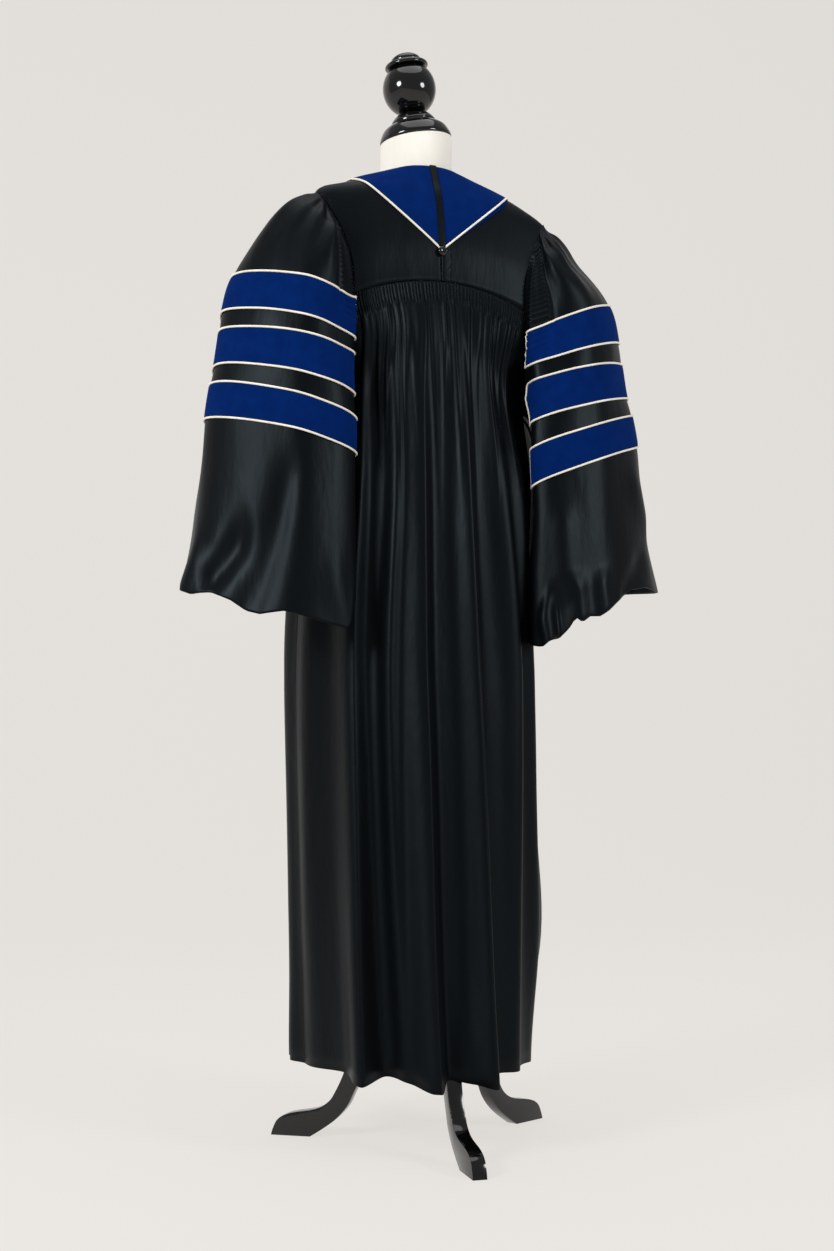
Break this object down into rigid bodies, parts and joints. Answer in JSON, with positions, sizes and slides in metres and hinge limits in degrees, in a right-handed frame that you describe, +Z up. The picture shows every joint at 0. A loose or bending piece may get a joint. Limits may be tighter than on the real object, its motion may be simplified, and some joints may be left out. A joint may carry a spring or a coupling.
{
  "type": "graduation gown on a dress form",
  "caption": "Doctoral gown with gathered back, bell sleeves with velvet bars, and a pointed velvet neck, on a limbless dress form with a turned finial and a tripod.",
  "frame": {"origin": "on the floor under the pole's axis, at the middle of the whole", "axes": "+Z up, +X to the wearer's left, -Y to the wearer's front, +Y to the back"},
  "size_m": [0.7224, 0.4723, 1.5908],
  "materials": {
    "black_cloth": "black satin-faced gown cloth with a soft sheen",
    "blue_velvet": "royal blue velvet",
    "cream_cord": "cream piping",
    "cream_linen": "cream linen cover of the dress form",
    "black_lacquer": "glossy black lacquer on turned wood"
  },
  "bodies": {
    "root": {"back_panel": "black_cloth", "yoke_left": "black_cloth", "yoke_right": "black_cloth", "front_left": "black_cloth", "front_right": "black_cloth", "sleeve_left": "black_cloth", "sleeve_right": "black_cloth", "strap": "black_cloth", "velvet_neck": "blue_velvet", "velvet_front_left": "blue_velvet", "velvet_front_right": "blue_velvet", "bar_upper_left": "blue_velvet", "bar_upper_right": "blue_velvet", "bar_middle_left": "blue_velvet", "bar_middle_right": "blue_velvet", "bar_lower_left": "blue_velvet", "bar_lower_right": "blue_velvet", "piping_bar_upper_left": "cream_cord", "piping_bar_upper_right": "cream_cord", "piping_bar_middle_left": "cream_cord", "piping_bar_middle_right": "cream_cord", "piping_bar_lower_left": "cream_cord", "piping_bar_lower_right": "cream_cord", "piping_neck_left": "cream_cord", "piping_neck_right": "cream_cord", "piping_front_left": "cream_cord", "piping_front_right": "cream_cord", "form_torso": "cream_linen", "button": "black_lacquer", "cap": "black_lacquer", "ball": "black_lacquer", "knob": "black_lacquer", "pole": "black_lacquer", "hub": "black_lacquer", "leg_back": "black_lacquer", "leg_left": "black_lacquer", "leg_right": "black_lacquer"}
  },
  "joints": []
}
